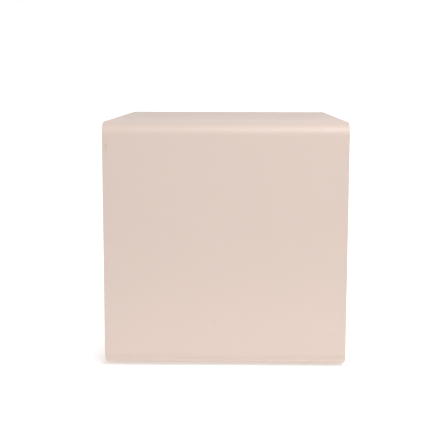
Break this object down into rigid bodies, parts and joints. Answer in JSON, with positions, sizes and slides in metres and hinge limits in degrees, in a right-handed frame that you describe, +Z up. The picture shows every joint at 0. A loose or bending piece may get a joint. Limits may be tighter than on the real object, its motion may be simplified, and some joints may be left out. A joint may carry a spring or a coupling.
{
  "type": "display plinth",
  "caption": "Low box display plinth in satin paint, its long edges rounded over, built of boards, corner rails, cleats and a centre rib, on screw-on glides.",
  "frame": {"origin": "on the floor, under the middle of the box", "axes": "+X to the right along the front, parallel to the rounded edges, +Y from the front to the back, +Z up out of the display top"},
  "size_m": [0.45, 0.6, 0.457],
  "materials": {
    "painted_board": "satin",
    "painted_rail": "satin",
    "sealed_board": "matte",
    "bare_board": "matte",
    "softwood": "matte",
    "beech": "matte",
    "nylon": "matte",
    "zinc_plated_steel": "satin"
  },
  "bodies": {
    "root": {"front_panel": "painted_board", "back_panel": "painted_board", "top_panel": "painted_board", "left_side_panel": "painted_board", "right_side_panel": "painted_board", "top_front_rail": "painted_rail", "top_back_rail": "painted_rail", "bottom_front_rail": "painted_rail", "bottom_back_rail": "painted_rail", "base_panel": "sealed_board", "centre_rib": "bare_board", "left_front_cleat": "softwood", "left_back_cleat": "softwood", "left_top_cleat": "softwood", "left_base_cleat": "softwood", "right_front_cleat": "softwood", "right_back_cleat": "softwood", "right_top_cleat": "softwood", "right_base_cleat": "softwood", "front_left_glide_block": "softwood", "front_left_glide": "nylon", "front_right_glide_block": "softwood", "front_right_glide": "nylon", "back_left_glide_block": "softwood", "back_left_glide": "nylon", "back_right_glide_block": "softwood", "back_right_glide": "nylon", "rail_dowels": "beech", "base_screws": "zinc_plated_steel", "cleat_screws": "zinc_plated_steel", "glide_screws": "zinc_plated_steel"}
  },
  "joints": []
}
